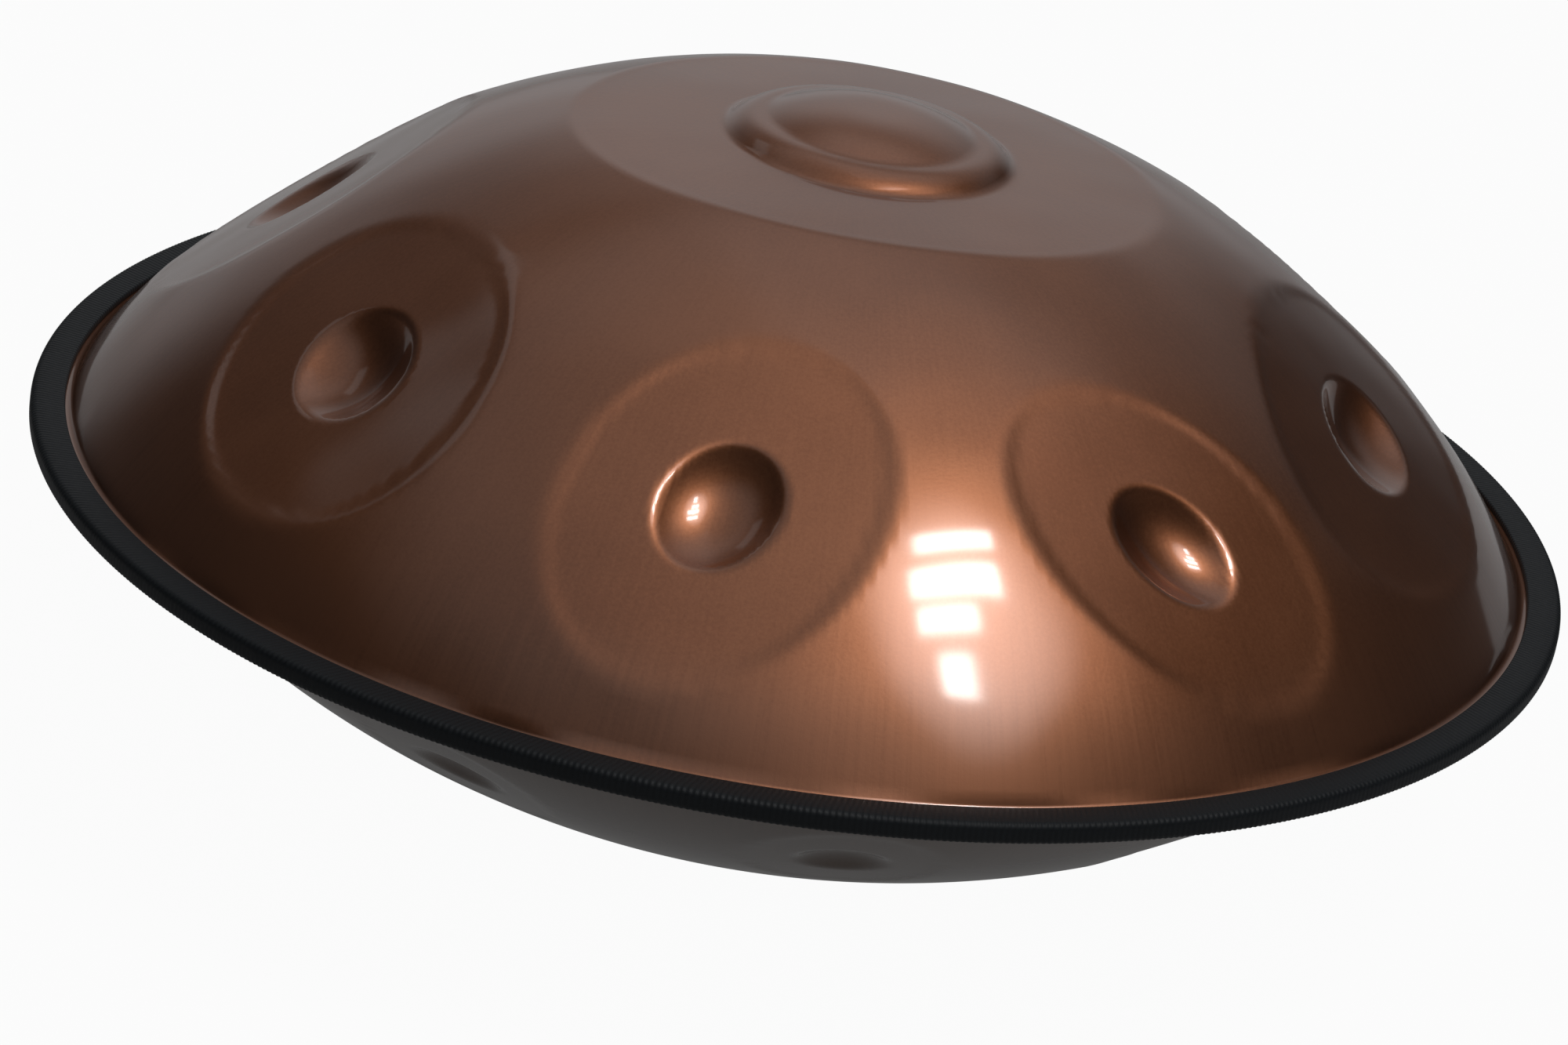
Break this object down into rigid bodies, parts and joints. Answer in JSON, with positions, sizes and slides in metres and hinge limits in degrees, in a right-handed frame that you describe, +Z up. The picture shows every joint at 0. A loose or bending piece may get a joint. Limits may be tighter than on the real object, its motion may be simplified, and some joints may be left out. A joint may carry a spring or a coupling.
{
  "type": "handpan",
  "caption": "Hand-played steel percussion instrument: two pressed bowls joined at a flanged rim, with oval tone fields, a raised centre dome, a sound port below and a soft edge trim.",
  "frame": {"origin": "on the axis, in the plane of the flat ring round the sound port, which the instrument rests on", "axes": "+Z up along the axis through the sound port and the centre dome; -Y towards the player's side, with the smallest tone field"},
  "size_m": [0.5399, 0.54, 0.2464],
  "materials": {
    "bronzed_steel": "heat-toned copper brown steel, satin gloss",
    "glue": "cured structural adhesive",
    "bare_steel": "rolled strip",
    "edge_rubber": "finely ribbed charcoal edge trim, satin"
  },
  "bodies": {
    "root": {"top_shell": "bronzed_steel", "bottom_shell": "bronzed_steel", "rim_adhesive": "glue", "trim_carrier": "bare_steel", "edge_trim": "edge_rubber"}
  },
  "joints": []
}
